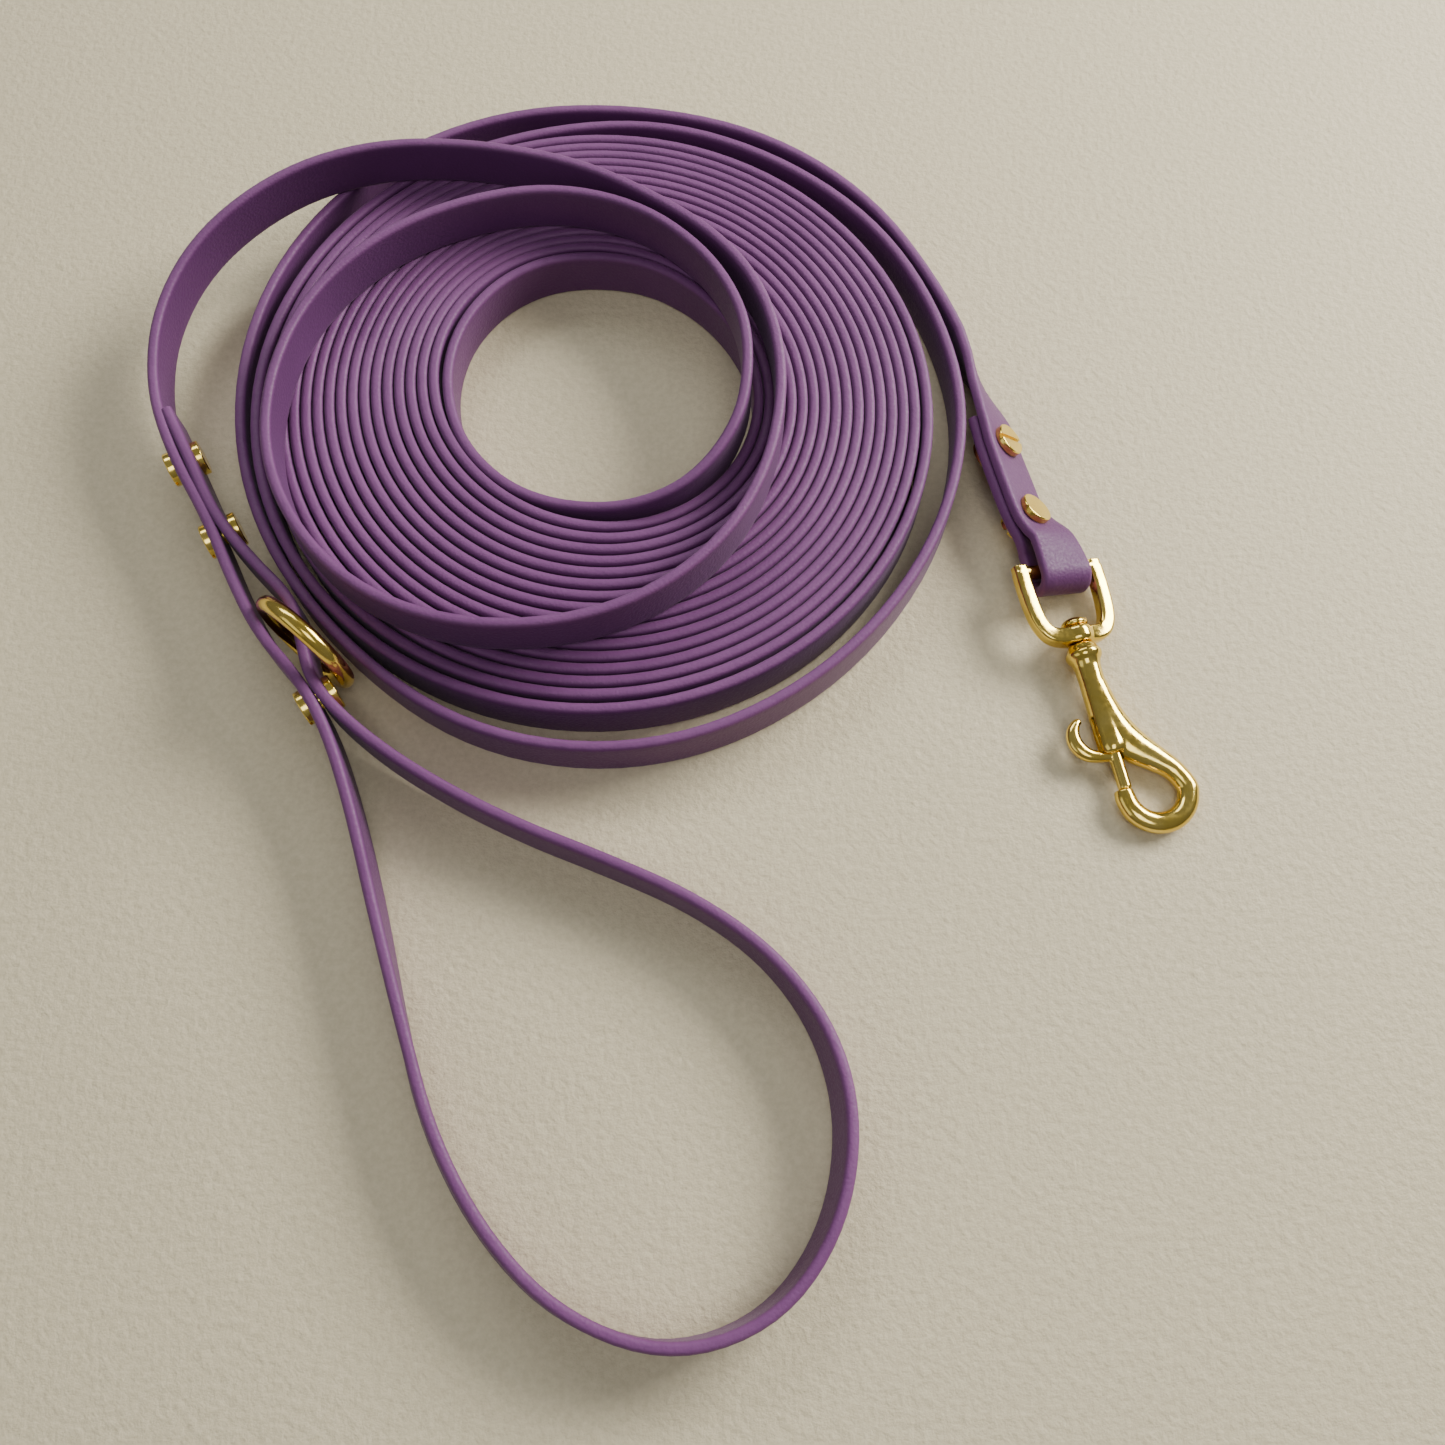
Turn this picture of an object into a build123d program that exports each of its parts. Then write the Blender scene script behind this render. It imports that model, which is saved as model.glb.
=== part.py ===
from build123d import *
import math
import os

# A long training leash of flat coated webbing, wound up on a floor: a snap hook
# with a swivel eye at one end, a hand loop with an O-ring at the other. Millimetres.
os.makedirs("parts", exist_ok=True)

# Webbing. It stands on edge, so its width is upright.
STRAP_W = 12.5
STRAP_T = 2.5
FLOOR_Z = STRAP_W / 2            # centreline height, standing on the floor
COIL_Z = STRAP_W * 1.5           # centreline height, standing on the coil
LAYER_GAP = 0.1                  # between the two layers where they are screwed
LAYER_OFF = (STRAP_T + LAYER_GAP) / 2
GUIDE_RISE = 40.0                # of the line that keeps sloping webbing upright
COIL_MIDDLE = (-17.0, 59.7)      # from the part's origin, which all routes start from

# Coil: an oval ring as high as the webbing is wide
OUTER_OVAL = (80.85, 79.15)
OUTER_OVAL_AT = (2.4, -0.9)
INNER_OVAL = (37.5, 33.55)
INNER_OVAL_AT = (4.1, 3.0)
OVAL_TURN = -45

# Routes of the centreline outside the coil, from the middle of the coil
OUTER_TURN = [
    (93.5, 6, FLOOR_Z), (85, 31, FLOOR_Z), (69, 58.5, FLOOR_Z), (43, 78.5, FLOOR_Z),
    (11.3, 86.8, FLOOR_Z), (-22, 85.8, FLOOR_Z), (-52, 71.5, FLOOR_Z), (-72.5, 47, FLOOR_Z),
    (-82, 17, FLOOR_Z), (-80.5, -14, FLOOR_Z), (-69.5, -42, FLOOR_Z), (-49.5, -66, FLOOR_Z),
    (-24, -84, FLOOR_Z), (6, -89.8, FLOOR_Z), (35, -83.5, FLOOR_Z), (62.3, -65.2, FLOOR_Z),
    (81.7, -37.8, FLOOR_Z), (89.8, -6, FLOOR_Z), (84.3, 24.3, FLOOR_Z), (70, 51, FLOOR_Z),
    (46, 71, FLOOR_Z), (17, 82, FLOOR_Z), (-13, 78.4, FLOOR_Z),
]
RISE = [
    (-15.8, -25.9, FLOOR_Z), (-3, -30.3, 6.4), (12, -31.6, 8.9), (26, -26.8, 12.5),
    (36.2, -13.5, 16),
]
TOP_LOOPS = [
    (38.6, 1.8, COIL_Z), (36.6, 16.5, COIL_Z), (28, 32, COIL_Z), (12.5, 45, COIL_Z),
    (-9, 50.5, COIL_Z), (-31, 46, COIL_Z), (-50, 35.5, COIL_Z), (-64, 19, COIL_Z),
    (-70.5, -2, COIL_Z), (-69.5, -24, COIL_Z), (-60, -43.5, COIL_Z), (-44.5, -58, COIL_Z),
    (-24, -65.3, COIL_Z), (-2, -65, COIL_Z), (18, -57.8, COIL_Z), (34, -43.5, COIL_Z),
    (43.5, -24, COIL_Z), (46.5, -1, COIL_Z), (42, 20.5, COIL_Z), (31, 36.5, COIL_Z),
    (13, 49.5, COIL_Z), (-5, 58.5, COIL_Z), (-29, 63.5, COIL_Z), (-52, 63.5, COIL_Z),
    (-73.5, 55.5, COIL_Z),
]
LEAD = [
    (-92, 39.5, 16.5), (-101, 20, 13.4), (-100.5, -1, 11.5), (-93.4, -18.5, 10.6),
    (-83.2, -35, 10.2), (-75.9, -50.2, 10.4), (-68.2, -63.7, 10.8), (-57.9, -74.8, 10.6),
    (-51.3, -86.1, 9.6),
]
HAND_LOOP = [
    (-45.5, -102, 7.8), (-39.5, -122, 6.6), (-32.5, -146, FLOOR_Z), (-25.5, -167, FLOOR_Z),
    (-14, -186, FLOOR_Z), (1.5, -200.5, FLOOR_Z), (22, -207.2, FLOOR_Z), (41.5, -201, FLOOR_Z),
    (53.5, -185.5, FLOOR_Z), (57.5, -166, FLOOR_Z), (53.5, -148, FLOOR_Z),
    (42.5, -132.5, FLOOR_Z), (26.5, -121, FLOOR_Z), (8, -112.8, FLOOR_Z), (-13, -104.5, 6.5),
    (-33, -94, 7.8),
]
TAIL = [
    (-47.1, -84, 9.4), (-55.8, -74.9, 10.6), (-58.6, -65.4, 11.6), (-61.6, -55.8, 11.4),
    (-71.3, -46.3, 10.6), (-81.9, -34.2, 10.2), (-90.1, -18.2, 10.6), (-96, -7.1, 11.2),
]

# Screw posts that clamp the hand loop: where each is, and how high its middle stands
HANDLE_SCREWS = [(-91.6, -18.3, 10.7), (-81.1, -36.8, 10.3), (-55.1, -77.1, 10.4)]
HEAD_D = 8.0
HEAD_H = 1.6
HEAD_ROUND = 0.35
POST_D = 4.5
POST_BORE = 3.0
POST_LEN = 2 * STRAP_T + LAYER_GAP
SHANK_D = 2.9
SHANK_LEN = 4.2
HOLE_D = 4.6
SLOT_W = 1.1
SLOT_DEPTH = 0.7
HEAD_CLEAR = 0.1
STACK = STRAP_T + LAYER_GAP / 2 + HEAD_CLEAR  # from the middle of two layers to either head

# O-ring, upright round the inner layer of the hand loop's joint
RING_R = 11.6
RING_WIRE = 3.8
RING_AT = (-58.5, -64.8, RING_R + RING_WIRE / 2)
RING_HEADING = 50.5

# Eye bar: where its middle is, and how eye and snap lie on their shared swivel axis
BAR_AT = (108.6, -43.5, 6.15)
SNAP_HEADING = -77.8
SNAP_DIP = 3.3
EYE_ROLL = 15.0
SNAP_ROLL = 3.0

# Swivel eye, along the axis from its bar
BAR_D = 3.2
EYE_OUT = 11.2                   # half its outside width
EYE_IN = 7.8                     # half its inside width
EYE_THICK = 3.2
WEB_START = 14.6
WEB_END = 18.4
WEB_HALF_OUT = 8.5
WEB_HALF_IN = 5.6
BOSS_D = 8.0
SWIVEL_HOLE = 4.4

# Snap hook, along the same axis from the eye bar
STUD_D = 3.8
STUD_HEAD_D = 6.2
STUD_HEAD = (12.2, 14.3)
NECK = (18.7, 20.6, 5.4)         # start, end and diameter
COLLAR = (20.6, 22.4, 8.0)
WAIST = (22.4, 24.4, 5.4)
BARREL = (24.0, 44.5, 6.4)
BORE_START = 25.4
BORE_D = 3.5
SLOT_START = 35.6
LEVER_SLOT = 2.9
HOOK_MID = (54.5, 6.5)
HOOK_R = 7.1
HOOK_WIRE = 4.2
HOOK_HOLE = 9.8
TIP_BACK = 1.6                   # of the hook's tip, from its middle

# Thumb bolt and its spring
ROD_D = 3.0
ROD = (39.6, 52.9)
LEVER_WIRE = 2.4
TRAVEL = 8.0
SPRING_OUT = 3.1
SPRING_WIRE = 0.45
SPRING_TURNS = 7
SPRING = (25.7, 39.3)

# Folded end of the webbing on the eye bar: stations from the bar outwards as middle of
# the two layers, lay from flat in degrees, and half the distance between the layers
FOLD_R = 3.3
FOLD_OUT = 1.2                   # of the fold's middle from the bar's
FOLD_STEPS = 6
FOLD_LAY = 15
STATIONS = [
    ((106.5, -36.9, 6.3), 26, 2.6),
    ((104.3, -33.4, 6.35), 35, 1.6),
    ((102.4, -30.3, 6.4), 40, LAYER_OFF),
    ((99.8, -21.5, 6.5), 42, LAYER_OFF),
    ((97.2, -11.5, 6.6), 44, LAYER_OFF),
    ((95.5, -4.3, 6.75), 49, LAYER_OFF),
]
RUN_OUT = [((93.6, 5.5, 6.6), 66, 0.0), ((91.4, 12.1, 6.35), 82, 0.0),
           ((89.25, 18.5, FLOOR_Z), 90, 0.0)]
SNAP_SCREWS = [(2, 1), (4, -1)]  # station, and the side its plain head is on


def bend_radii(points):
    """Arc radius at each corner: 0.45 of its shorter run over the tangent of half the turn."""
    corners = [Vector(*p) for p in points]
    radii = []
    for a, b, c in zip(corners, corners[1:], corners[2:]):
        half_turn = math.radians((b - a).get_angle(c - b)) / 2
        radii.append(0.45 * min((b - a).length, (c - b).length) / math.tan(half_turn))
    return radii


def middle(a, b):
    return tuple((p + q) / 2 for p, q in zip(a, b))


def stretch(points, first, last):
    """Path round corners first to last of a route, from the middle of the run before them."""
    radii = bend_radii(points)
    start = middle(points[first - 1], points[first])
    end = points[-1] if last == len(points) - 2 else middle(points[last], points[last + 1])
    corners = [start] + points[first:last + 1] + [end]
    return FilletPolyline(*corners, radius=radii[first - 1:last])


def ribbon(path, level):
    """Upright webbing along a path. A path that isn't level keeps its section upright too."""
    ahead = path % 0
    across = ahead.cross(Vector(0, 0, 1)).normalized()
    section = Plane(origin=path @ 0, x_dir=across, z_dir=ahead) * Rectangle(STRAP_T, STRAP_W)
    if level:
        return sweep(section, path=path)
    guide = Wire(path.edges()).moved(Location((0, 0, GUIDE_RISE)))
    return sweep(section, path=path, binormal=guide)


def report(name, path, solid):
    """Compare a ribbon's volume with its section times its length."""
    wanted = STRAP_T * STRAP_W * path.length
    print(f"{name}: length {path.length:.1f}, volume {solid.volume:.0f}, section x length {wanted:.0f}")


def home(shape):
    return Pos(*COIL_MIDDLE, 0) * shape


def save(name, shape):
    export_step(home(shape), f"parts/{name}.step")


def disc(start, end, diameter):
    """Cylinder along +X."""
    upright = Cylinder(diameter / 2, end - start, align=(Align.CENTER, Align.CENTER, Align.MIN))
    return Pos(start, 0, 0) * Rot(Y=90) * upright


def disc_stack(*steps):
    """Cylinders along +X joined to each other, each given as start, end and diameter."""
    first, *others = [disc(*step) for step in steps]
    return first.fuse(*others) if others else first


def oval(half_axes, at, height):
    face = Pos(*at, 0) * Rot(Z=OVAL_TURN) * Ellipse(*half_axes)
    return extrude(face, height)


def coil():
    return oval(OUTER_OVAL, OUTER_OVAL_AT, STRAP_W) - oval(INNER_OVAL, INNER_OVAL_AT, STRAP_W)


def nearest(path, place, count=800):
    """Fraction of a path at which it passes closest to a place."""
    fractions = [i / count for i in range(count + 1)]
    return min(fractions, key=lambda f: (path.position_at(f) - Vector(*place)).length)


def screw_frames(lead):
    """Each handle screw's axis, +X from the lead layer to the tail layer, at their shared face."""
    frames = []
    for place in HANDLE_SCREWS:
        where = nearest(lead, place)
        ahead = lead.tangent_at(where)
        across = Vector(-ahead.Y, ahead.X, 0).normalized()
        foot = lead.position_at(where)
        centre = Vector(foot.X, foot.Y, place[2]) + across * LAYER_OFF
        frames.append(Plane(origin=centre, x_dir=across, z_dir=(0, 0, 1)))
    return frames


def domed(disc, face_x):
    """Round the outer edge of a head."""
    rim = [e for e in disc.edges().filter_by(GeomType.CIRCLE) if abs(e.center().X - face_x) < 1e-6]
    return fillet(rim, HEAD_ROUND)


def post():
    """Screw post with its plain head towards +X; X = 0 is the middle of the two layers."""
    head = domed(disc_stack((STACK, STACK + HEAD_H, HEAD_D)), STACK + HEAD_H)
    tube = disc_stack((STACK - POST_LEN, STACK, POST_D))
    bore = disc_stack((STACK - POST_LEN, STACK, POST_BORE))
    return head + tube - bore


def screw():
    """Slotted screw that goes into the post, its head towards -X."""
    head = domed(disc_stack((-STACK - HEAD_H, -STACK, HEAD_D)), -STACK - HEAD_H)
    slot = Pos(-STACK - HEAD_H, 0, 0) * Box(2 * SLOT_DEPTH, HEAD_D + 1, SLOT_W)
    shank = disc_stack((-STACK, SHANK_LEN - STACK, SHANK_D))
    return head - slot + shank


def screw_hole():
    return disc_stack((-3 * STACK, 3 * STACK, HOLE_D))


def ring():
    face_on = Rot(Z=RING_HEADING) * Rot(Y=90) * Torus(RING_R, RING_WIRE / 2)
    return Pos(*RING_AT) * face_on


def axis_place(roll):
    """Frame of the eye or the snap: X along the swivel axis away from the bar, Y across."""
    return Pos(*BAR_AT) * Rot(Z=SNAP_HEADING) * Rot(Y=SNAP_DIP) * Rot(X=-roll)


def eye():
    outline = Polyline(
        (-BAR_D / 2, EYE_OUT), (WEB_START * 0.6, EYE_OUT), (WEB_END, WEB_HALF_OUT),
        (WEB_END, -WEB_HALF_OUT), (WEB_START * 0.6, -EYE_OUT), (-BAR_D / 2, -EYE_OUT), close=True)
    window = Polyline(
        (BAR_D / 2, EYE_IN), (WEB_START * 0.55, EYE_IN), (WEB_START, WEB_HALF_IN),
        (WEB_START, -WEB_HALF_IN), (WEB_START * 0.55, -EYE_IN), (BAR_D / 2, -EYE_IN), close=True)
    plate = make_face(outline)
    plate = fillet(plate.vertices(), 1.6)
    hole = make_face(window)
    hole = fillet(hole.vertices(), 1.2)
    frame = extrude(plate - hole, EYE_THICK / 2, both=True)
    upright = frame.edges().filter_by(Axis.Z)
    frame = chamfer([e for e in frame.edges() if e not in upright], 0.55)
    frame -= Box(BAR_D + 0.2, 2 * EYE_IN, EYE_THICK + 1)
    bar = Rot(X=90) * Cylinder(BAR_D / 2, 2 * EYE_IN + 2)
    boss = disc_stack((WEB_START + 0.2, WEB_END, BOSS_D)) & Box(60, 60, EYE_THICK + 3.2)
    return frame + bar + boss - disc_stack((WEB_START - 4, WEB_END + 1, SWIVEL_HOLE))


def hook_arc():
    """Open round of the hook: from the body, round the far end, to the tip beside the axis."""
    open_side = Pos(-HOOK_R - TIP_BACK / 2, -HOOK_R, 0) * Box(2 * HOOK_R - TIP_BACK, 2 * HOOK_R, 10)
    return Pos(*HOOK_MID, 0) * (Torus(HOOK_R, HOOK_WIRE / 2) - open_side)


def limb():
    """Solid limb from the barrel's side to the hook."""
    outline = make_face(Polyline(
        (29, 0), (31, 3.1), (38, 4.6), (43.5, 8.2), (48, 13.2), (52, 12), (50, 6), (44.4, 1.4),
        (44.4, 0), close=True))
    body = extrude(outline, HOOK_WIRE / 2, both=True)
    upright = body.edges().filter_by(Axis.Z)
    return chamfer([e for e in body.edges() if e not in upright], 0.8)


def snap_body():
    turned = disc_stack(
        (STUD_HEAD[1] - 0.1, NECK[0] + 0.1, STUD_D), NECK, COLLAR, WAIST, BARREL)
    head = disc_stack((STUD_HEAD[0], STUD_HEAD[1], STUD_HEAD_D))
    rim = [e for e in head.edges().filter_by(GeomType.CIRCLE) if e.center().X < STUD_HEAD[0] + 0.1]
    head = fillet(rim, 1.2)
    body = turned + head + limb() + hook_arc()
    body -= Pos(*HOOK_MID, 0) * Cylinder(HOOK_HOLE / 2, 20)
    body -= disc_stack((BORE_START, ROD[1] + 0.2, BORE_D))
    slot_len = BARREL[1] - SLOT_START + 4
    slot = Pos(SLOT_START + slot_len / 2, -3, 0) * Box(slot_len, 6, LEVER_SLOT)
    return body - slot


def bolt():
    rod = disc_stack((ROD[0], ROD[1], ROD_D))
    curl = Spline((45.0, 0), (44.6, -5.2), (41.2, -8.4), (37.2, -8.2), (35.8, -6.0))
    section = Plane(origin=curl @ 0, z_dir=curl % 0) * Circle(LEVER_WIRE / 2)
    lever = sweep(section, path=curl)
    tip = Pos(curl @ 1) * Sphere(LEVER_WIRE / 2)
    return rod + lever + tip


def spring():
    radius = (SPRING_OUT - SPRING_WIRE) / 2
    length = SPRING[1] - SPRING[0] - SPRING_WIRE
    coil_path = Helix(length / SPRING_TURNS, length, radius)
    section = Plane(origin=coil_path @ 0, z_dir=coil_path % 0) * Circle(SPRING_WIRE / 2)
    wire = sweep(section, path=coil_path)
    return Pos(SPRING[0] + SPRING_WIRE / 2, 0, 0) * Rot(Y=90) * wire


def layer_frame(place, ahead, lay):
    """Frame on the folded end: X along the normal of the webbing's face, Z along the webbing."""
    along = Vector(ahead.X, ahead.Y, 0).normalized()
    east = Vector(along.Y, -along.X, 0)
    tilt = math.radians(lay)
    normal = east * math.sin(tilt) + Vector(0, 0, 1) * math.cos(tilt)
    return Plane(origin=place, x_dir=normal, z_dir=along)


def station_frames():
    """Frames of the stations from the eye bar outwards."""
    stations = STATIONS + RUN_OUT
    places = [Vector(*BAR_AT)] + [Vector(*place) for place, _, _ in stations]
    steps = [b - a for a, b in zip(places, places[1:])]
    return [layer_frame(place, step, lay) for (place, lay, _), step in zip(stations, steps)]


def layer_section(frame, offset):
    return frame * (Pos(offset, 0, 0) * Rectangle(STRAP_T, STRAP_W))


def fold_sections():
    """Half turn of the webbing round the eye bar, from the upper layer to the lower one."""
    flat = Rot(X=90) * (Plane.XZ * Rectangle(STRAP_T, STRAP_W))
    sections = []
    for k in range(FOLD_STEPS + 1):
        turn = 90 - 180 * k / FOLD_STEPS
        angle = math.radians(turn)
        lift = Pos(FOLD_OUT + FOLD_R * math.cos(angle), 0, FOLD_R * math.sin(angle))
        sections.append(axis_place(FOLD_LAY) * lift * Rot(Y=-turn) * flat)
    return sections


def tongue():
    """Webbing from the outer turn to the eye bar, round it, and back under itself."""
    frames = station_frames()
    offsets = [offset for _, _, offset in STATIONS + RUN_OUT]
    upper = [layer_section(f, offset) for f, offset in zip(frames, offsets)]
    lower = [layer_section(f, -offset) for f, offset in zip(frames, offsets[:len(STATIONS)])]
    return loft(upper[::-1] + fold_sections() + lower, ruled=True)


def tongue_screw_frames():
    """Axis of each tongue screw: X towards its plain head."""
    frames = station_frames()
    return [Plane(origin=frames[i].origin, x_dir=frames[i].x_dir * side, z_dir=frames[i].z_dir)
            for i, side in SNAP_SCREWS]


def punched(layer, frames):
    """Webbing with its screw holes."""
    for frame in frames:
        layer = layer - frame * screw_hole()
    return layer


def save_screws(prefix, frames):
    for number, frame in enumerate(frames, 1):
        save(f"{prefix}_post_{number}", frame * post())
        save(f"{prefix}_screw_{number}", frame * screw())


def straps():
    """The webbing in the pieces that its length is laid in."""
    line = RISE + TOP_LOOPS + LEAD + HAND_LOOP + TAIL
    print("arc radii:", [round(r, 1) for r in bend_radii(OUTER_TURN) + bend_radii(line)])
    last_rise = len(RISE) - 1
    last_loop = last_rise + len(TOP_LOOPS)
    last_lead = last_loop + len(LEAD)
    last_hand = last_lead + len(HAND_LOOP)
    paths = {
        "strap_outer_turn": stretch(OUTER_TURN, 1, len(OUTER_TURN) - 2),
        "strap_rise": stretch(line, 1, last_rise),
        "strap_top_loops": stretch(line, last_rise + 1, last_loop),
        "strap_joint_lead": stretch(line, last_loop + 1, last_lead),
        "strap_hand_loop": stretch(line, last_lead + 1, last_hand),
        "strap_joint_tail": stretch(line, last_hand + 1, len(line) - 2),
    }
    solids = {name: ribbon(path, name == "strap_outer_turn") for name, path in paths.items()}
    for name, path in paths.items():
        report(name, path, solids[name])
    return paths, solids


def main():
    paths, solids = straps()
    wound = coil()
    handle_frames = screw_frames(paths["strap_joint_lead"])
    tongue_frames = tongue_screw_frames()
    solids["strap_coil"] = wound
    solids["strap_outer_turn"] -= wound
    solids["strap_rise"] -= wound
    solids["strap_joint_tail"] -= solids["strap_joint_lead"]
    for name in ("strap_joint_lead", "strap_joint_tail"):
        solids[name] = punched(solids[name], handle_frames)
    solids["strap_snap_tongue"] = punched(tongue(), tongue_frames)
    for name, solid in solids.items():
        save(name, solid)
    save_screws("handle", handle_frames)
    save_screws("tongue", tongue_frames)
    save("o_ring", ring())
    save("swivel_eye", axis_place(EYE_ROLL) * eye())
    save("snap_body", axis_place(SNAP_ROLL) * snap_body())
    save("thumb_bolt", axis_place(SNAP_ROLL) * bolt())
    save("bolt_spring", axis_place(SNAP_ROLL) * spring())


main()
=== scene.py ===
import math

import bmesh
import bpy
from mathutils import Matrix, Vector


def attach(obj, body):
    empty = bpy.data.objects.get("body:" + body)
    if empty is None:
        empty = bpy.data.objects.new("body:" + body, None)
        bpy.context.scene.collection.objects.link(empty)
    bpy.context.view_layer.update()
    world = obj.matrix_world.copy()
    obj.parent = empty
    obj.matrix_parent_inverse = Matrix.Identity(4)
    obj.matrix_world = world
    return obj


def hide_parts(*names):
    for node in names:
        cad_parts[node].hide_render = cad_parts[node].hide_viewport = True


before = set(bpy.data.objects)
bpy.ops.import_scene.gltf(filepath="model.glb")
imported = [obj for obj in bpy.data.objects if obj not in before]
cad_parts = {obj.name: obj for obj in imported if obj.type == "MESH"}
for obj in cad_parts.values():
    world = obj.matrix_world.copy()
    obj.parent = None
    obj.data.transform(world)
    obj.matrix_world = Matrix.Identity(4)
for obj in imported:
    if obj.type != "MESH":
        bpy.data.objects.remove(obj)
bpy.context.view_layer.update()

MM = 0.001
STRAP_W, STRAP_T = 12.5, 2.5
EDGE_ROUND = 1.0
FACE_ROW = 3.6
FLOOR_Z, COIL_Z = 6.25, 18.75
COIL_MIDDLE = (-17.0, 59.7)

# Routes in mm from the middle of the coil, as in the part's source
OUTER_TURN = [
    (93.5, 6, FLOOR_Z), (85, 31, FLOOR_Z), (69, 58.5, FLOOR_Z), (43, 78.5, FLOOR_Z),
    (11.3, 86.8, FLOOR_Z), (-22, 85.8, FLOOR_Z), (-52, 71.5, FLOOR_Z), (-72.5, 47, FLOOR_Z),
    (-82, 17, FLOOR_Z), (-80.5, -14, FLOOR_Z), (-69.5, -42, FLOOR_Z), (-49.5, -66, FLOOR_Z),
    (-24, -84, FLOOR_Z), (6, -89.8, FLOOR_Z), (35, -83.5, FLOOR_Z), (62.3, -65.2, FLOOR_Z),
    (81.7, -37.8, FLOOR_Z), (89.8, -6, FLOOR_Z), (84.3, 24.3, FLOOR_Z), (70, 51, FLOOR_Z),
    (46, 71, FLOOR_Z), (17, 82, FLOOR_Z),
]
INNER = [
    (-7.6, 40.1, FLOOR_Z), (-21, 33.7, FLOOR_Z), (-30, 22, FLOOR_Z), (-33.4, 8.2, FLOOR_Z),
    (-31.6, -5.4, FLOOR_Z), (-25.9, -16.7, FLOOR_Z),
]
RISE = [
    (-15.8, -25.9, FLOOR_Z), (-3, -30.3, 6.4), (12, -31.6, 8.9), (26, -26.8, 12.5),
    (36.2, -13.5, 16),
]
TOP_LOOPS = [
    (38.6, 1.8, COIL_Z), (36.6, 16.5, COIL_Z), (28, 32, COIL_Z), (12.5, 45, COIL_Z),
    (-9, 50.5, COIL_Z), (-31, 46, COIL_Z), (-50, 35.5, COIL_Z), (-64, 19, COIL_Z),
    (-70.5, -2, COIL_Z), (-69.5, -24, COIL_Z), (-60, -43.5, COIL_Z), (-44.5, -58, COIL_Z),
    (-24, -65.3, COIL_Z), (-2, -65, COIL_Z), (18, -57.8, COIL_Z), (34, -43.5, COIL_Z),
    (43.5, -24, COIL_Z), (46.5, -1, COIL_Z), (42, 20.5, COIL_Z), (31, 36.5, COIL_Z),
    (13, 49.5, COIL_Z), (-5, 58.5, COIL_Z), (-29, 63.5, COIL_Z), (-52, 63.5, COIL_Z),
    (-73.5, 55.5, COIL_Z),
]
LEAD = [
    (-92, 39.5, 16.5), (-101, 20, 13.4), (-100.5, -1, 11.5), (-93.4, -18.5, 10.6),
    (-83.2, -35, 10.2), (-75.9, -50.2, 10.4), (-68.2, -63.7, 10.8), (-57.9, -74.8, 10.6),
    (-51.3, -86.1, 9.6),
]
HAND_LOOP = [
    (-45.5, -102, 7.8), (-39.5, -122, 6.6), (-32.5, -146, FLOOR_Z), (-25.5, -167, FLOOR_Z),
    (-14, -186, FLOOR_Z), (1.5, -200.5, FLOOR_Z), (22, -207.2, FLOOR_Z), (41.5, -201, FLOOR_Z),
    (53.5, -185.5, FLOOR_Z), (57.5, -166, FLOOR_Z), (53.5, -148, FLOOR_Z),
    (42.5, -132.5, FLOOR_Z), (26.5, -121, FLOOR_Z), (8, -112.8, FLOOR_Z), (-13, -104.5, 6.5),
    (-33, -94, 7.8),
]
TAIL = [
    (-47.1, -84, 9.4), (-55.8, -74.9, 10.6), (-58.6, -65.4, 11.6), (-61.6, -55.8, 11.4),
    (-71.3, -46.3, 10.6), (-81.9, -34.2, 10.2), (-90.1, -18.2, 10.6), (-96, -7.1, 11.2),
]

# The coil's turns, from its outside to its inside
FIRST_R, PITCH, SLACK, LOOSE = 80.48, 2.667, 0.958, 2.0
TURNS, PER_TURN, START = 15.9375, 16, 101.0
OUT_C, IN_C = (2.42, -0.91), (2.97, 3.32)
OUT_OVAL, IN_OVAL = 0.85, 2.11

# Folded end, as in the part's source
BAR_AT = Vector((108.6, -43.5, 6.15))
SNAP_HEADING, SNAP_DIP, SNAP_ROLL, EYE_ROLL, FOLD_LAY = -77.8, 3.3, 3.0, 15.0, 15.0
FOLD_R = 3.3
FOLD_OUT = 1.2
LAYER_OFF = 1.3
STATIONS = [
    ((106.5, -36.9, 6.3), 26, 2.6),
    ((104.3, -33.4, 6.35), 35, 1.6),
    ((102.4, -30.3, 6.4), 40, LAYER_OFF),
    ((99.8, -21.5, 6.5), 42, LAYER_OFF),
    ((97.2, -11.5, 6.6), 44, LAYER_OFF),
    ((95.5, -4.3, 6.75), 49, LAYER_OFF),
]
# Past the folded end the two layers have become one, lying upright by the last place
RUN_OUT = [((93.6, 5.5, 6.6), 66, 0.0), ((91.4, 12.1, 6.35), 82, 0.0),
           ((89.25, 18.5, FLOOR_Z), 90, 0.0)]

# Metres in Y over which the hand loop comes to its full lean, and that lean in degrees
LEAN_FROM, LEAN_OVER, HAND_LOOP_LEAN = -0.055, 0.045, 11

# O-ring: middle radius and wire radius in mm, and its place from the coil's middle
RING_R, RING_WIRE = 11.6, 1.9
RING_AT, RING_HEADING = (-58.5, -64.8, 13.5), 50.5
RING_STEPS, WIRE_SIDES, TURNED_SIDES = 96, 32, 36


def mix(a, b, k):
    return a + (b - a) * k


def placed(point):
    """A point of a route in the shared frame, in metres."""
    x, y, z = point
    return Vector((x + COIL_MIDDLE[0], y + COIL_MIDDLE[1], z)) * MM


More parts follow.
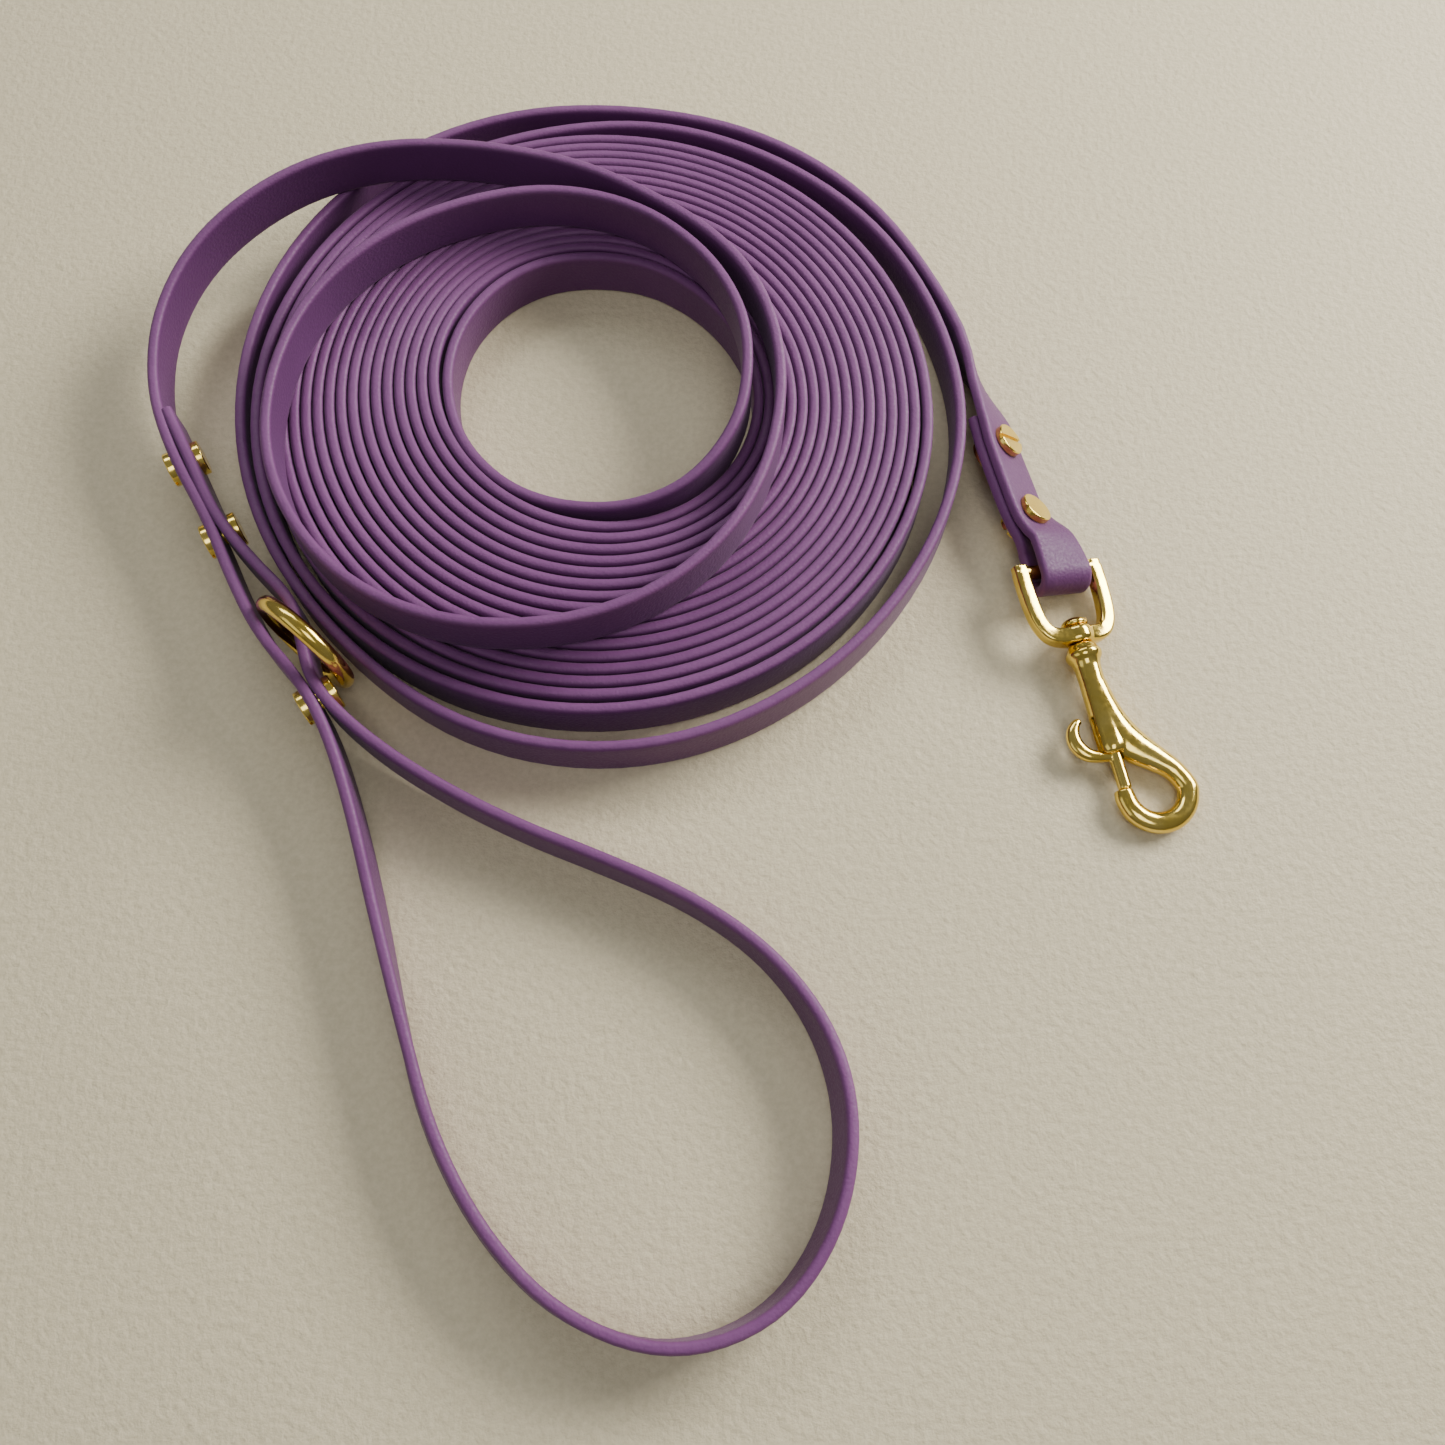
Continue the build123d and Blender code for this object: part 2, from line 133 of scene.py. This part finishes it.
def coil_turns():
    points = []
    for i in range(round(TURNS * PER_TURN) + 1):
        turn = i / PER_TURN
        k = turn / TURNS
        angle = math.radians(START + 360 * turn)
        radius = FIRST_R - PITCH * turn - SLACK * (1 - max(0, 1 - turn / LOOSE) ** 2)
        radius -= mix(OUT_OVAL, IN_OVAL, k) * math.sin(2 * angle)
        radius /= (3 + math.cos(2 * math.pi / PER_TURN)) / 4
        x = mix(OUT_C[0], IN_C[0], k) + radius * math.cos(angle)
        y = mix(OUT_C[1], IN_C[1], k) + radius * math.sin(angle)
        points.append((x, y, FLOOR_Z))
    return points


def smooth_line(points, resolution):
    """Points read from the NURBS spline that has these control points."""
    curve = bpy.data.curves.new("route", "CURVE")
    curve.dimensions = "3D"
    curve.resolution_u = resolution
    spline = curve.splines.new("NURBS")
    spline.points.add(len(points) - 1)
    for slot, point in zip(spline.points, points):
        slot.co = (*placed(point), 1)
    spline.order_u = 3
    spline.use_endpoint_u = True
    holder = bpy.data.objects.new("route", curve)
    bpy.context.scene.collection.objects.link(holder)
    bpy.context.view_layer.update()
    evaluated = holder.evaluated_get(bpy.context.evaluated_depsgraph_get())
    mesh = bpy.data.meshes.new_from_object(evaluated)
    line = [v.co.copy() for v in mesh.vertices]
    bpy.data.objects.remove(holder)
    bpy.data.meshes.remove(mesh)
    return line


def profile():
    """Cross-section of the webbing in metres: well-rounded edges between flat faces."""
    half_w, half_t, corner = STRAP_W / 2, STRAP_T / 2, EDGE_ROUND
    outline = []
    for side_x, side_y, begin in ((1, 1, 0), (-1, 1, 90), (-1, -1, 180), (1, -1, 270)):
        for k in range(5):
            angle = math.radians(begin + 22.5 * k)
            x = side_x * (half_t - corner) + corner * math.cos(angle)
            y = side_y * (half_w - corner) + corner * math.sin(angle)
            outline.append((x, y))
        if begin in (90, 270):
            outline += [(side_x * half_t, y) for y in (side_y * FACE_ROW, 0, -side_y * FACE_ROW)]
    return [(x * MM, y * MM) for x, y in outline]


PROFILE = profile()
ROUND_LENGTH = sum(math.dist(p, q) for p, q in zip(PROFILE, PROFILE[1:] + PROFILE[:1]))
CORNER_LENGTH = sum(math.dist(p, q) for p, q in zip(PROFILE[:4], PROFILE[1:5]))
EDGE_MIDDLE = CORNER_LENGTH + (STRAP_T / 2 - EDGE_ROUND) * MM


def strip(name, frames, first_u=0.0):
    """Webbing through a list of (centre, normal of its face, direction of its width)."""
    bm = bmesh.new()
    uv_layer = bm.loops.layers.uv.new("along")
    rows, lengths = [], [first_u]
    for centre, normal, wide in frames:
        corners = [centre + normal * x + wide * y for x, y in PROFILE]
        low = min(c.z for c in corners)
        if low < 0:
            corners = [c - Vector((0, 0, low)) for c in corners]
        rows.append([bm.verts.new(c) for c in corners])
    for a, b in zip(frames, frames[1:]):
        lengths.append(lengths[-1] + (b[0] - a[0]).length)
    around = [0.0]
    closed = PROFILE + PROFILE[:1]
    for p, q in zip(closed, closed[1:]):
        around.append(around[-1] + math.dist(p, q))
    count = len(PROFILE)
    for i, (row, after) in enumerate(zip(rows, rows[1:])):
        for j in range(count):
            k = (j + 1) % count
            face = bm.faces.new((row[j], row[k], after[k], after[j]))
            face.smooth = True
            corners = ((i, j), (i, j + 1), (i + 1, j + 1), (i + 1, j))
            for loop, (u, v) in zip(face.loops, corners):
                loop[uv_layer].uv = (lengths[u], around[v])
    for row, flip in ((rows[0], True), (rows[-1], False)):
        cap = bm.faces.new(row[::-1] if flip else row)
        for loop in cap.loops:
            loop[uv_layer].uv = (0, 0)
            loop.edge.smooth = False
    bmesh.ops.recalc_face_normals(bm, faces=bm.faces)
    mesh = bpy.data.meshes.new(name)
    bm.to_mesh(mesh)
    bm.free()
    piece = bpy.data.objects.new(name, mesh)
    bpy.context.scene.collection.objects.link(piece)
    return piece, lengths[-1]


def upright_frames(line):
    """Sections along a line, their width upright except where the hand loop leans."""
    frames = []
    for i, point in enumerate(line):
        ahead = (line[min(i + 1, len(line) - 1)] - line[max(i - 1, 0)]).normalized()
        reach = min(1, max(0, (LEAN_FROM - point.y) / LEAN_OVER))
        lean = math.tan(math.radians(HAND_LOOP_LEAN)) * reach * reach * (3 - 2 * reach)
        up = Vector((lean, 0, 1))
        up = (up - ahead * up.dot(ahead)).normalized()
        frames.append((point, ahead.cross(up).normalized(), up))
    return frames


def axis_place(roll):
    """Frame of the eye or the snap: X along the swivel axis away from the bar."""
    turn = Matrix.Rotation(math.radians(SNAP_HEADING), 4, "Z")
    dip = Matrix.Rotation(math.radians(SNAP_DIP), 4, "Y")
    rolled = Matrix.Rotation(math.radians(-roll), 4, "X")
    return Matrix.Translation(placed(BAR_AT)) @ turn @ dip @ rolled


def tongue_frames():
    """Sections from the outer turn to the eye bar, round it, and back under."""
    stations = STATIONS + RUN_OUT
    places = [placed(BAR_AT)] + [placed(place) for place, _, _ in stations]
    layers = {1: [], -1: []}
    for i, (_, lay, offset) in enumerate(stations):
        step = places[i + 1] - places[i]
        along = Vector((step.x, step.y, 0)).normalized()
        east = Vector((along.y, -along.x, 0))
        tilt = math.radians(lay)
        normal = east * math.sin(tilt) + Vector((0, 0, 1)) * math.cos(tilt)
        for side in (1, -1):
            centre = places[i + 1] + normal * offset * side * MM
            layers[side].append((centre, normal.cross(along) * side))
    fold = []
    place = axis_place(FOLD_LAY)
    turn = place.to_3x3()
    for k in range(13):
        angle = math.radians(90 - 15 * k)
        out = Vector((math.cos(angle), 0, math.sin(angle)))
        centre = place @ ((out * FOLD_R + Vector((FOLD_OUT, 0, 0))) * MM)
        fold.append((centre, turn @ Vector((0, 1, 0))))
    upper = layers[1][::-1]
    lower = layers[-1][:len(STATIONS)]
    return aligned(refined(upper + fold + lower))


def refined(frames, steps=5):
    """(centre, direction of width) pairs between pairs, on a smooth curve."""
    fine = []
    for i in range(len(frames) - 1):
        a, b = frames[i], frames[i + 1]
        before = frames[max(i - 1, 0)][0]
        after = frames[min(i + 2, len(frames) - 1)][0]
        near = b[0] - a[0]
        lead_in = near * 0.5 if i == 0 else (b[0] - before) * 0.5
        lead_out = near * 0.5 if i == len(frames) - 2 else (after - a[0]) * 0.5
        lead_in = lead_in.normalized() * near.length
        lead_out = lead_out.normalized() * near.length
        for s in range(steps):
            t = s / steps
            h = (2 * t ** 3 - 3 * t ** 2 + 1, t ** 3 - 2 * t ** 2 + t,
                 -2 * t ** 3 + 3 * t ** 2, t ** 3 - t ** 2)
            centre = a[0] * h[0] + lead_in * h[1] + b[0] * h[2] + lead_out * h[3]
            same = 1 if a[1].dot(b[1]) >= 0 else -1
            fine.append((centre, a[1].lerp(b[1] * same, t).normalized()))
    fine.append(frames[-1])
    return fine


def aligned(frames):
    """Sections for strip(), their axes kept from flipping and square to the line."""
    made = []
    for i, (centre, wide) in enumerate(frames):
        ahead = (frames[min(i + 1, len(frames) - 1)][0] - frames[max(i - 1, 0)][0]).normalized()
        if made and wide.dot(made[-1][2]) < 0:
            wide = -wide
        wide = (wide - ahead * wide.dot(ahead)).normalized()
        made.append((centre, ahead.cross(wide), wide))
    return made


# Materials

def node_material(name):
    material = bpy.data.materials.new(name)
    material.use_nodes = True
    tree = material.node_tree
    shader = tree.nodes["Principled BSDF"]
    return material, tree, shader


def add(tree, kind, **values):
    node = tree.nodes.new(kind)
    for key, value in values.items():
        if key in node.inputs:
            node.inputs[key].default_value = value
        else:
            setattr(node, key, value)
    return node


def noise(tree, coords, scale, detail=4.0, roughness=0.55):
    node = add(tree, "ShaderNodeTexNoise", Scale=scale, Detail=detail, Roughness=roughness)
    tree.links.new(coords, node.inputs["Vector"])
    return node.outputs["Fac"]


def ramp(tree, source, low, high, out_low, out_high):
    node = tree.nodes.new("ShaderNodeMapRange")
    node.interpolation_type = "SMOOTHSTEP"
    for slot, value in zip(node.inputs[1:5], (low, high, out_low, out_high)):
        slot.default_value = value
    tree.links.new(source, node.inputs[0])
    return node.outputs[0]


def blend_colour(tree, factor, dark, light):
    node = add(tree, "ShaderNodeMix", data_type="RGBA")
    tree.links.new(factor, node.inputs["Factor"])
    node.inputs[6].default_value = (*dark, 1)
    node.inputs[7].default_value = (*light, 1)
    return node.outputs[2]


def webbing_material():
    """Soft matt coated webbing: fine pebbled grain, slight cloudiness, and the rounded edges painted
    paler as a painted highlight.
    """
    material, tree, shader = node_material("coated_webbing")
    link = tree.links.new
    where = tree.nodes.new("ShaderNodeTexCoord").outputs["Object"]
    uv = add(tree, "ShaderNodeUVMap", uv_map="along").outputs["UV"]
    split = tree.nodes.new("ShaderNodeSeparateXYZ")
    link(uv, split.inputs[0])
    # Distance round the section from the middle of the nearer edge
    shifted = add(tree, "ShaderNodeMath", operation="SUBTRACT")
    link(split.outputs["Y"], shifted.inputs[0])
    shifted.inputs[1].default_value = EDGE_MIDDLE
    from_edge = add(tree, "ShaderNodeMath", operation="PINGPONG")
    link(shifted.outputs[0], from_edge.inputs[0])
    from_edge.inputs[1].default_value = ROUND_LENGTH / 4
    # Painted highlight: mask that paints the rounded edges paler all along the strap, as if they
    # catch the light
    edge_highlight_mask = ramp(tree, from_edge.outputs[0], 0.0008, 0.0022, 1.0, 0.0)
    grain = noise(tree, where, 1700, 3)
    pebble = add(tree, "ShaderNodeTexVoronoi", Scale=1500.0, feature="SMOOTH_F1")
    link(where, pebble.inputs["Vector"])
    patch = ramp(tree, noise(tree, where, 26, 3), 0.3, 0.72, 0.0, 1.0)
    face_colour = blend_colour(tree, patch, (0.092, 0.018, 0.104), (0.108, 0.024, 0.122))
    # Paler colour of the painted edge highlight, cloudy like the faces
    lit_edge_colour = blend_colour(tree, patch, (0.142, 0.038, 0.152), (0.172, 0.052, 0.180))
    colours = add(tree, "ShaderNodeMix", data_type="RGBA")
    # Strength of the painted edge highlight, varied with noise
    edge_highlight_amount = add(tree, "ShaderNodeMath", operation="MULTIPLY")
    link(edge_highlight_mask, edge_highlight_amount.inputs[0])
    link(ramp(tree, noise(tree, where, 240, 4), 0.25, 0.6, 0.75, 1.0), edge_highlight_amount.inputs[1])
    link(edge_highlight_amount.outputs[0], colours.inputs["Factor"])
    link(face_colour, colours.inputs[6])
    link(lit_edge_colour, colours.inputs[7])
    link(colours.outputs[2], shader.inputs["Base Color"])
    link(ramp(tree, grain, 0.3, 0.7, 0.50, 0.64), shader.inputs["Roughness"])
    height = add(tree, "ShaderNodeMath", operation="MULTIPLY_ADD")
    link(pebble.outputs["Distance"], height.inputs[0])
    height.inputs[1].default_value = 0.8
    link(grain, height.inputs[2])
    bump = add(tree, "ShaderNodeBump", Strength=0.5, Distance=0.00014)
    link(height.outputs[0], bump.inputs["Height"])
    link(bump.outputs["Normal"], shader.inputs["Normal"])
    shader.inputs["Specular IOR Level"].default_value = 0.45
    shader.inputs["Sheen Weight"].default_value = 0.08
    shader.inputs["Sheen Roughness"].default_value = 0.5
    return material


def brass_material():
    """Polished brass: warm, slightly uneven, with fine scratches."""
    material, tree, shader = node_material("polished_brass")
    link = tree.links.new
    where = tree.nodes.new("ShaderNodeTexCoord").outputs["Object"]
    cloud = ramp(tree, noise(tree, where, 160, 4), 0.3, 0.7, 0.0, 1.0)
    colour = blend_colour(tree, cloud, (0.80, 0.575, 0.105), (0.90, 0.685, 0.175))
    link(colour, shader.inputs["Base Color"])
    shader.inputs["Metallic"].default_value = 1.0
    fine = noise(tree, where, 900, 5)
    link(ramp(tree, fine, 0.3, 0.75, 0.10, 0.22), shader.inputs["Roughness"])
    stretched = add(tree, "ShaderNodeMapping", Scale=(0.25, 1.0, 1.0), Rotation=(0.3, 0.2, 0.9))
    link(where, stretched.inputs["Vector"])
    scratch = noise(tree, stretched.outputs[0], 3200, 4)
    height = add(tree, "ShaderNodeMath", operation="ADD")
    link(scratch, height.inputs[0])
    link(noise(tree, where, 300, 3), height.inputs[1])
    bump = add(tree, "ShaderNodeBump", Strength=0.08, Distance=0.0001)
    link(height.outputs[0], bump.inputs["Height"])
    link(bump.outputs["Normal"], shader.inputs["Normal"])
    return material


def steel_material():
    material, tree, shader = node_material("spring_steel")
    where = tree.nodes.new("ShaderNodeTexCoord").outputs["Object"]
    tone = ramp(tree, noise(tree, where, 700, 3), 0.3, 0.7, 0.0, 1.0)
    tree.links.new(blend_colour(tree, tone, (0.42, 0.42, 0.43), (0.62, 0.62, 0.63)),
                   shader.inputs["Base Color"])
    tree.links.new(ramp(tree, tone, 0, 1, 0.25, 0.4), shader.inputs["Roughness"])
    shader.inputs["Metallic"].default_value = 1.0
    return material


def floor_material():
    """Pale warm stone, very fine in texture."""
    material, tree, shader = node_material("pale_floor")
    where = tree.nodes.new("ShaderNodeTexCoord").outputs["Object"]
    speck = ramp(tree, noise(tree, where, 620, 6, 0.7), 0.3, 0.7, 0.0, 1.0)
    tree.links.new(blend_colour(tree, speck, (0.585, 0.515, 0.345), (0.675, 0.60, 0.42)),
                   shader.inputs["Base Color"])
    bump = add(tree, "ShaderNodeBump", Strength=0.7, Distance=0.0006)
    tree.links.new(noise(tree, where, 520, 4, 0.6), bump.inputs["Height"])
    tree.links.new(bump.outputs["Normal"], shader.inputs["Normal"])
    shader.inputs["Roughness"].default_value = 0.62
    return material


webbing = webbing_material()
brass = brass_material()
steel = steel_material()


# Webbing: one line from the outer turn to the free end, and the folded end

route = OUTER_TURN + coil_turns() + INNER + RISE + TOP_LOOPS + LEAD + HAND_LOOP + TAIL
route[0] = (89.25, 18.5, FLOOR_Z)
line = smooth_line(route, 6)
tongue, tongue_length = strip("strap_folded_end", tongue_frames()[::-1])
strap, strap_end = strip("strap_line", upright_frames(line), first_u=tongue_length)
for piece in (strap, tongue):
    piece.data.materials.append(webbing)
    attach(piece, "line")
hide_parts("strap_coil", "strap_outer_turn", "strap_rise", "strap_top_loops",
            "strap_joint_lead", "strap_hand_loop", "strap_joint_tail")
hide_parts("strap_snap_tongue")

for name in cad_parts:
    node = bpy.data.objects[name]
    if not name.startswith("strap_"):
        node.data.materials.clear()
        node.data.materials.append(steel if name == "bolt_spring" else brass)


# Brass hardware, in mm along the swivel axis from the eye bar

def tube(bm, points, radii, squareness=2.0, sides=28):
    """Closed body through points in mm, its section a superellipse of (across, thick) radii."""
    rings = []
    for i, point in enumerate(points):
        before, after = points[max(i - 1, 0)], points[min(i + 1, len(points) - 1)]
        ahead = (Vector(after) - Vector(before)).normalized()
        across = ahead.cross(Vector((0, 0, 1))).normalized()
        thick = across.cross(ahead)
        ring = []
        for k in range(sides):
            c, s = math.cos(2 * math.pi * k / sides), math.sin(2 * math.pi * k / sides)
            x = math.copysign(abs(c) ** (2 / squareness), c) * radii[i][0]
            y = math.copysign(abs(s) ** (2 / squareness), s) * radii[i][1]
            ring.append(bm.verts.new(Vector(point) + across * x + thick * y))
        rings.append(ring)
    for low, high in zip(rings, rings[1:]):
        for k in range(sides):
            bm.faces.new((low[k], low[(k + 1) % sides], high[(k + 1) % sides], high[k]))
    bm.faces.new(rings[0][::-1])
    bm.faces.new(rings[-1])


def rounded(points, radii, steps=6):
    """Points and radii on a smooth curve through the ones given."""
    rows = [(*p, *r) for p, r in zip(points, radii)]
    rows = [rows[0]] + rows + [rows[-1]]
    fine = []
    for a, b, c, d in zip(rows, rows[1:], rows[2:], rows[3:]):
        for s in range(steps):
            t = s / steps
            fine.append([0.5 * (2 * q + (r - p) * t + (2 * p - 5 * q + 4 * r - w) * t * t
                                + (3 * q - p - 3 * r + w) * t ** 3)
                         for p, q, r, w in zip(a, b, c, d)])
    fine.append(rows[-1])
    return [row[:3] for row in fine], [row[3:] for row in fine]


def turned(bm, outline):
    """Closed body turned about X from (x, radius) pairs in mm."""
    angles = [2 * math.pi * k / TURNED_SIDES for k in range(TURNED_SIDES)]
    rings = []
    for x, radius in outline:
        rings.append([bm.verts.new((x, radius * math.cos(a), radius * math.sin(a))) for a in angles])
    for low, high in zip(rings, rings[1:]):
        for k in range(TURNED_SIDES):
            after = (k + 1) % TURNED_SIDES
            bm.faces.new((low[k], low[after], high[after], high[k]))
    bm.faces.new(rings[0][::-1])
    bm.faces.new(rings[-1])


def object_of(name, bm, place):
    """An object of a mesh in mm, put at a place, its mesh in the shared frame."""
    bmesh.ops.recalc_face_normals(bm, faces=bm.faces)
    mesh = bpy.data.meshes.new(name)
    bm.to_mesh(mesh)
    bm.free()
    mesh.transform(place @ Matrix.Scale(MM, 4))
    piece = bpy.data.objects.new(name, mesh)
    bpy.context.scene.collection.objects.link(piece)
    return piece


def baked(piece):
    """The object's mesh with its modifiers applied."""
    evaluated = piece.evaluated_get(bpy.context.evaluated_depsgraph_get())
    mesh = bpy.data.meshes.new_from_object(evaluated)
    piece.modifiers.clear()
    piece.data = mesh
    for face in mesh.polygons:
        face.use_smooth = True


def cast(piece, voxel, smoothing):
    """Run overlapping bodies into one casting with soft inner corners."""
    remesh = piece.modifiers.new("cast", "REMESH")
    remesh.mode = "VOXEL"
    remesh.voxel_size = voxel * MM
    soften = piece.modifiers.new("soften", "SMOOTH")
    soften.factor = 0.5
    soften.iterations = smoothing
    baked(piece)


def carve(piece, *cutters):
    for cutter in cutters:
        cut = piece.modifiers.new("carve", "BOOLEAN")
        cut.operation = "DIFFERENCE"
        cut.solver = "EXACT"
        cut.object = cutter
    bpy.context.view_layer.update()
    baked(piece)
    for cutter in cutters:
        bpy.data.objects.remove(cutter)


def rod_cutter(start, end, radius, place):
    bm = bmesh.new()
    turned(bm, [(start, radius), (end, radius)])
    return object_of("cutter", bm, place)


def swivel_eye(place):
    """Bar, frame, web and bored boss, as one casting."""
    bm = bmesh.new()
    frame_line = [(0, -9.5, 0), (4.5, -9.55, 0), (9, -9.3, 0), (12.8, -8.6, 0), (15.4, -7.0, 0),
                  (16.4, -4.4, 0), (16.5, 0, 0), (16.4, 4.4, 0), (15.4, 7.0, 0), (12.8, 8.6, 0),
                  (9, 9.3, 0), (4.5, 9.55, 0), (0, 9.5, 0)]
    frame_size = [(1.8, 1.65)] * 4 + [(1.85, 1.75), (1.95, 2.2), (2.0, 3.1), (1.95, 2.2),
                                      (1.85, 1.75)] + [(1.8, 1.65)] * 4
    tube(bm, *rounded(frame_line, frame_size), squareness=4.5)
    tube(bm, [(0, -9.6, 0), (0, 9.6, 0)], [(1.6, 1.6)] * 2)
    for side in (-1, 1):
        tube(bm, [(-1.7, 9.5 * side, 0), (2.5, 9.5 * side, 0)], [(1.72, 1.6)] * 2, squareness=3.6)
    turned(bm, [(14.5, 2.9), (14.8, 3.3), (15.5, 3.6), (17.4, 3.6), (18.1, 3.3), (18.4, 2.9)])
    eye = object_of("eye_casting", bm, place)
    cast(eye, 0.26, 5)
    carve(eye, rod_cutter(10, 20, 2.2, place))
    return eye


def snap_hook(place):
    """Swivel stud, collar, slotted barrel, limb and hook, as one casting."""
    bm = bmesh.new()
    turned(bm, [(12.2, 0.4), (12.25, 1.2), (12.5, 2.1), (12.95, 2.75), (13.5, 3.1), (13.9, 3.1),
                (14.3, 2.7), (14.3, 1.9), (18.7, 1.9), (18.75, 2.9), (19.4, 3.3), (20.2, 3.6),
                (20.6, 4.05), (21.4, 4.15), (22.1, 3.9), (22.8, 3.35), (24, 3.0), (27, 2.9),
                (31, 2.95), (36, 3.05), (40, 3.1), (43.2, 3.1), (44.3, 2.8), (44.6, 2.4)])
    limb_line = [(28, 0.3, 0), (34, 0.8, 0), (39.5, 2.0, 0), (43.6, 4.6, 0), (47.2, 8.4, 0),
                 (50.6, 11.7, 0)]
    limb_size = [(2.8, 2.8), (3.4, 3.0), (4.1, 2.95), (3.9, 2.75), (3.1, 2.5), (2.5, 2.25)]
    arc = [90 - 15 * k for k in range(13)]
    arc_line = [(54.5 + 7.1 * math.cos(math.radians(a)), 6.5 + 7.1 * math.sin(math.radians(a)), 0)
                for a in arc]
    arc_size = [(2.42, 2.15)] * 11 + [(2.3, 2.12)] * 2
    tip = [(53.6, -0.6, 0), (52.95, -0.58, 0)]
    tube(bm, *rounded(limb_line + arc_line + tip, limb_size + arc_size + [(2.1, 2.1)] * 2))
    snap = object_of("snap_casting", bm, place)
    cast(snap, 0.24, 12)
    bm = bmesh.new()
    bmesh.ops.create_cube(bm, size=1)
    slot_cut = object_of("cutter", bm, place @ Matrix.Translation(Vector((42, -3.2, 0)) * MM)
                         @ Matrix.Diagonal((12.8, 6.4, 2.9, 1)))
    carve(snap, rod_cutter(25.4, 46, 1.75, place), slot_cut)
    return snap


def thumb_bolt(place):
    """Rod with its curled thumb lever."""
    bm = bmesh.new()
    turned(bm, [(39.6, 1.2), (39.7, 1.5), (52.6, 1.5), (52.9, 1.2)])
    lever_line = [(45.0, 0, 0), (44.7, -3.2, 0), (43.6, -6.0, 0), (41.2, -7.7, 0), (38.4, -7.8, 0),
                  (36.4, -6.5, 0), (36.0, -5.3, 0)]
    lever_size = [(1.2, 1.2), (1.3, 1.25), (1.6, 1.35), (1.75, 1.4), (1.5, 1.3), (1.05, 1.1),
                  (0.6, 0.7)]
    tube(bm, *rounded(lever_line, lever_size))
    bolt = object_of("thumb_lever", bm, place)
    cast(bolt, 0.2, 4)
    return bolt


def o_ring():
    """Round wire ring."""
    bm = bmesh.new()
    around_ring = [2 * math.pi * k / RING_STEPS for k in range(RING_STEPS)]
    around_wire = [2 * math.pi * k / WIRE_SIDES for k in range(WIRE_SIDES)]
    rings = []
    for a in around_ring:
        out = Vector((RING_R * math.cos(a), RING_R * math.sin(a), 0)).normalized()
        rings.append([bm.verts.new(out * (RING_R + RING_WIRE * math.cos(b))
                                   + Vector((0, 0, RING_WIRE * math.sin(b))))
                      for b in around_wire])
    for low, high in zip(rings, rings[1:] + rings[:1]):
        for k in range(WIRE_SIDES):
            after = (k + 1) % WIRE_SIDES
            bm.faces.new((low[k], high[k], high[after], low[after]))
    heading = Matrix.Rotation(math.radians(RING_HEADING), 4, "Z")
    upright = Matrix.Rotation(math.radians(90), 4, "Y")
    ring = object_of("wire_ring", bm, Matrix.Translation(placed(RING_AT)) @ (heading @ upright))
    for face in ring.data.polygons:
        face.use_smooth = True
    return ring


snap_place = axis_place(SNAP_ROLL)
eye = swivel_eye(axis_place(EYE_ROLL))
snap = snap_hook(snap_place)
bolt = thumb_bolt(snap_place)
ring = o_ring()

for piece, body, node in ((eye, "eye", "swivel_eye"), (snap, "snap", "snap_body"),
                          (bolt, "bolt", "thumb_bolt"), (ring, "ring", "o_ring")):
    piece.data.materials.clear()
    piece.data.materials.append(brass)
    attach(piece, body)
    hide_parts(node)

# Floor, lights and camera

bm = bmesh.new()
bmesh.ops.create_grid(bm, x_segments=8, y_segments=8, size=30.0)
floor_mesh = bpy.data.meshes.new("floor")
bm.to_mesh(floor_mesh)
bm.free()
floor = bpy.data.objects.new("floor", floor_mesh)
bpy.context.scene.collection.objects.link(floor)
floor.data.materials.append(floor_material())


def area_light(name, at, target, size, energy, colour):
    light = bpy.data.lights.new(name, "AREA")
    light.shape = "RECTANGLE"
    light.size, light.size_y = size
    light.energy = energy
    light.color = colour
    lamp = bpy.data.objects.new(name, light)
    lamp.location = at
    aim = Vector(target) - Vector(at)
    lamp.rotation_euler = aim.to_track_quat("-Z", "Y").to_euler()
    bpy.context.scene.collection.objects.link(lamp)


area_light("window", (0.8, 0.5, 0.54), (0.02, 0, 0), (0.6, 0.4), 21, (1.0, 0.96, 0.89))
area_light("sky", (-0.25, 0.9, 0.9), (0, 0, 0), (0.9, 0.35), 5, (0.99, 0.985, 0.97))
area_light("top", (0.12, -0.42, 1.0), (0.05, 0, 0), (0.45, 0.45), 2.2, (1.0, 0.98, 0.95))
area_light("fill", (-0.9, -0.5, 0.7), (0, 0, 0), (0.8, 0.6), 1.2, (0.97, 0.98, 1.0))

world = bpy.data.worlds.new("studio")
world.use_nodes = True
sky_tree = world.node_tree
background = sky_tree.nodes["Background"]
direction = sky_tree.nodes.new("ShaderNodeTexCoord").outputs["Generated"]
parts = sky_tree.nodes.new("ShaderNodeSeparateXYZ")
sky_tree.links.new(direction, parts.inputs[0])
sky_tree.links.new(
    blend_colour(sky_tree, ramp(sky_tree, parts.outputs["Z"], 0.05, 0.95, 0.0, 1.0),
                 (0.62, 0.60, 0.57), (0.90, 0.91, 0.93)), background.inputs[0])
background.inputs[1].default_value = 0.25
bpy.context.scene.world = world

camera_data = bpy.data.cameras.new("camera")
camera_data.lens = 34.88
camera_data.sensor_width = 36
camera = bpy.data.objects.new("camera", camera_data)
camera.location = (0.0153, -0.1304, 0.292)
camera.rotation_euler = (math.radians(20.95), 0, 0)
bpy.context.scene.collection.objects.link(camera)
bpy.context.scene.camera = camera
